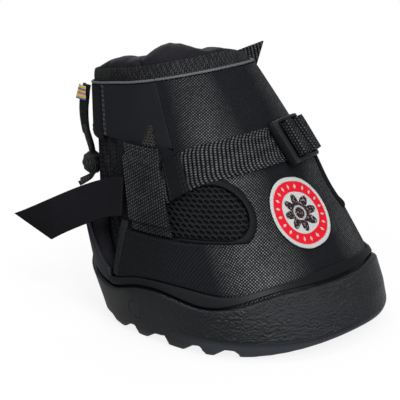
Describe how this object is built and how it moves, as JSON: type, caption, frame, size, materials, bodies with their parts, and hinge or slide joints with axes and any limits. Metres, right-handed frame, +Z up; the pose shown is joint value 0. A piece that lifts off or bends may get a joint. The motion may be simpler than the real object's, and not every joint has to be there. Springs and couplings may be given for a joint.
{
  "type": "horse hoof boot",
  "caption": "Strap-on boot for a bare hoof: lugged rubber sole, textile upper with mesh windows, padded collar, webbing straps with a ladder lock and hook tape tails.",
  "frame": {"origin": "on the ground under the middle of the tread", "axes": "+X forward to the toe, +Y to the boot's left, +Z up"},
  "size_m": [0.1837, 0.1501, 0.146],
  "materials": {
    "badge_cloth": "woven badge",
    "ballistic_nylon": "coarse basket weave",
    "black_plastic": "moulded",
    "cord_braid": "braided cord",
    "counter_rubber": "moulded satin",
    "cuff_leather": "smooth grain",
    "hook_tape": "hook tape and folded webbing",
    "insole_foam": "foam",
    "label_cloth": "woven stripes",
    "lining_cloth": "brushed",
    "pad_cloth": "soft stretch cloth",
    "piping_cloth": "grey cord piping",
    "rubber": "moulded, pebbled satin",
    "spacer_mesh": "open spacer mesh",
    "webbing_cloth": "ribbed webbing"
  },
  "bodies": {
    "boot": {"badge_patch": "badge_cloth", "buckle_loop": "webbing_cloth", "collar_band": "spacer_mesh", "collar_pad_front": "pad_cloth", "collar_pad_left": "pad_cloth", "collar_pad_rear": "pad_cloth", "collar_pad_right": "pad_cloth", "edge_binding_left": "hook_tape", "edge_binding_right": "hook_tape", "heel_counter": "counter_rubber", "insole_pad": "insole_foam", "keeper_left": "webbing_cloth", "keeper_right": "webbing_cloth", "lining": "lining_cloth", "mesh_window_left": "spacer_mesh", "mesh_window_right": "spacer_mesh", "outsole": "rubber", "piping_front": "piping_cloth", "piping_rear": "piping_cloth", "quarter_left": "ballistic_nylon", "quarter_right": "ballistic_nylon", "rear_gaiter": "spacer_mesh", "rear_panel": "ballistic_nylon", "strap_fold_left": "hook_tape", "strap_fold_right": "hook_tape", "strap_left": "webbing_cloth", "strap_right": "webbing_cloth", "toe_rand": "rubber", "vamp": "ballistic_nylon"},
    "ladder_lock": {"ladder_lock": "black_plastic", "strap_turn": "webbing_cloth"},
    "tail_right": {"strap_tail_right": "hook_tape"},
    "tail_left": {"strap_tail_left": "hook_tape"},
    "cuff_right": {"cuff_right": "cuff_leather", "piping_right": "piping_cloth"},
    "cuff_left": {"cuff_left": "cuff_leather", "piping_left": "piping_cloth", "tab_foot": "webbing_cloth"},
    "cuff_tab": {"cuff_tab": "webbing_cloth"},
    "pull": {"pull_tape": "hook_tape", "pull_label": "label_cloth", "pull_cord_a": "cord_braid", "pull_cord_b": "cord_braid", "pull_knot": "cord_braid", "cord_end_a": "cord_braid", "cord_end_b": "cord_braid"}
  },
  "joints": [
    {"name": "ladder_lock_tilt", "type": "hinge", "parent": "boot", "child": "ladder_lock", "pos_m": [0.01629, 0.02517, 0.09577], "axis": [-0.577, -0.1111, 0.8091], "range_deg": [0, 40]},
    {"name": "tail_right_swing", "type": "hinge", "parent": "boot", "child": "tail_right", "pos_m": [-0.03573, -0.05882, 0.07059], "axis": [-0.3527, 0.2317, 0.9066], "range_deg": [-3, 60]},
    {"name": "tail_left_swing", "type": "hinge", "parent": "boot", "child": "tail_left", "pos_m": [-0.03573, 0.05882, 0.07059], "axis": [0.3527, 0.2317, -0.9066], "range_deg": [-3, 60]},
    {"name": "cuff_right_open", "type": "hinge", "parent": "boot", "child": "cuff_right", "pos_m": [-0.02274, -0.04089, 0.11214], "axis": [-0.5154, 0.2173, 0.829], "range_deg": [0, 40]},
    {"name": "cuff_left_open", "type": "hinge", "parent": "boot", "child": "cuff_left", "pos_m": [-0.02274, 0.04089, 0.11214], "axis": [0.5154, 0.2173, -0.829], "range_deg": [0, 40]},
    {"name": "cuff_tab_fold", "type": "hinge", "parent": "cuff_left", "child": "cuff_tab", "pos_m": [-0.06919, 0.04403, 0.11211], "axis": [0.0623, -0.2305, 0.9711], "range_deg": [-10, 50]},
    {"name": "pull_swing", "type": "hinge", "parent": "boot", "child": "pull", "pos_m": [-0.09142, -0.02844, 0.1175], "axis": [-0.6133, 0.7899, 0], "range_deg": [0, 75]}
  ]
}
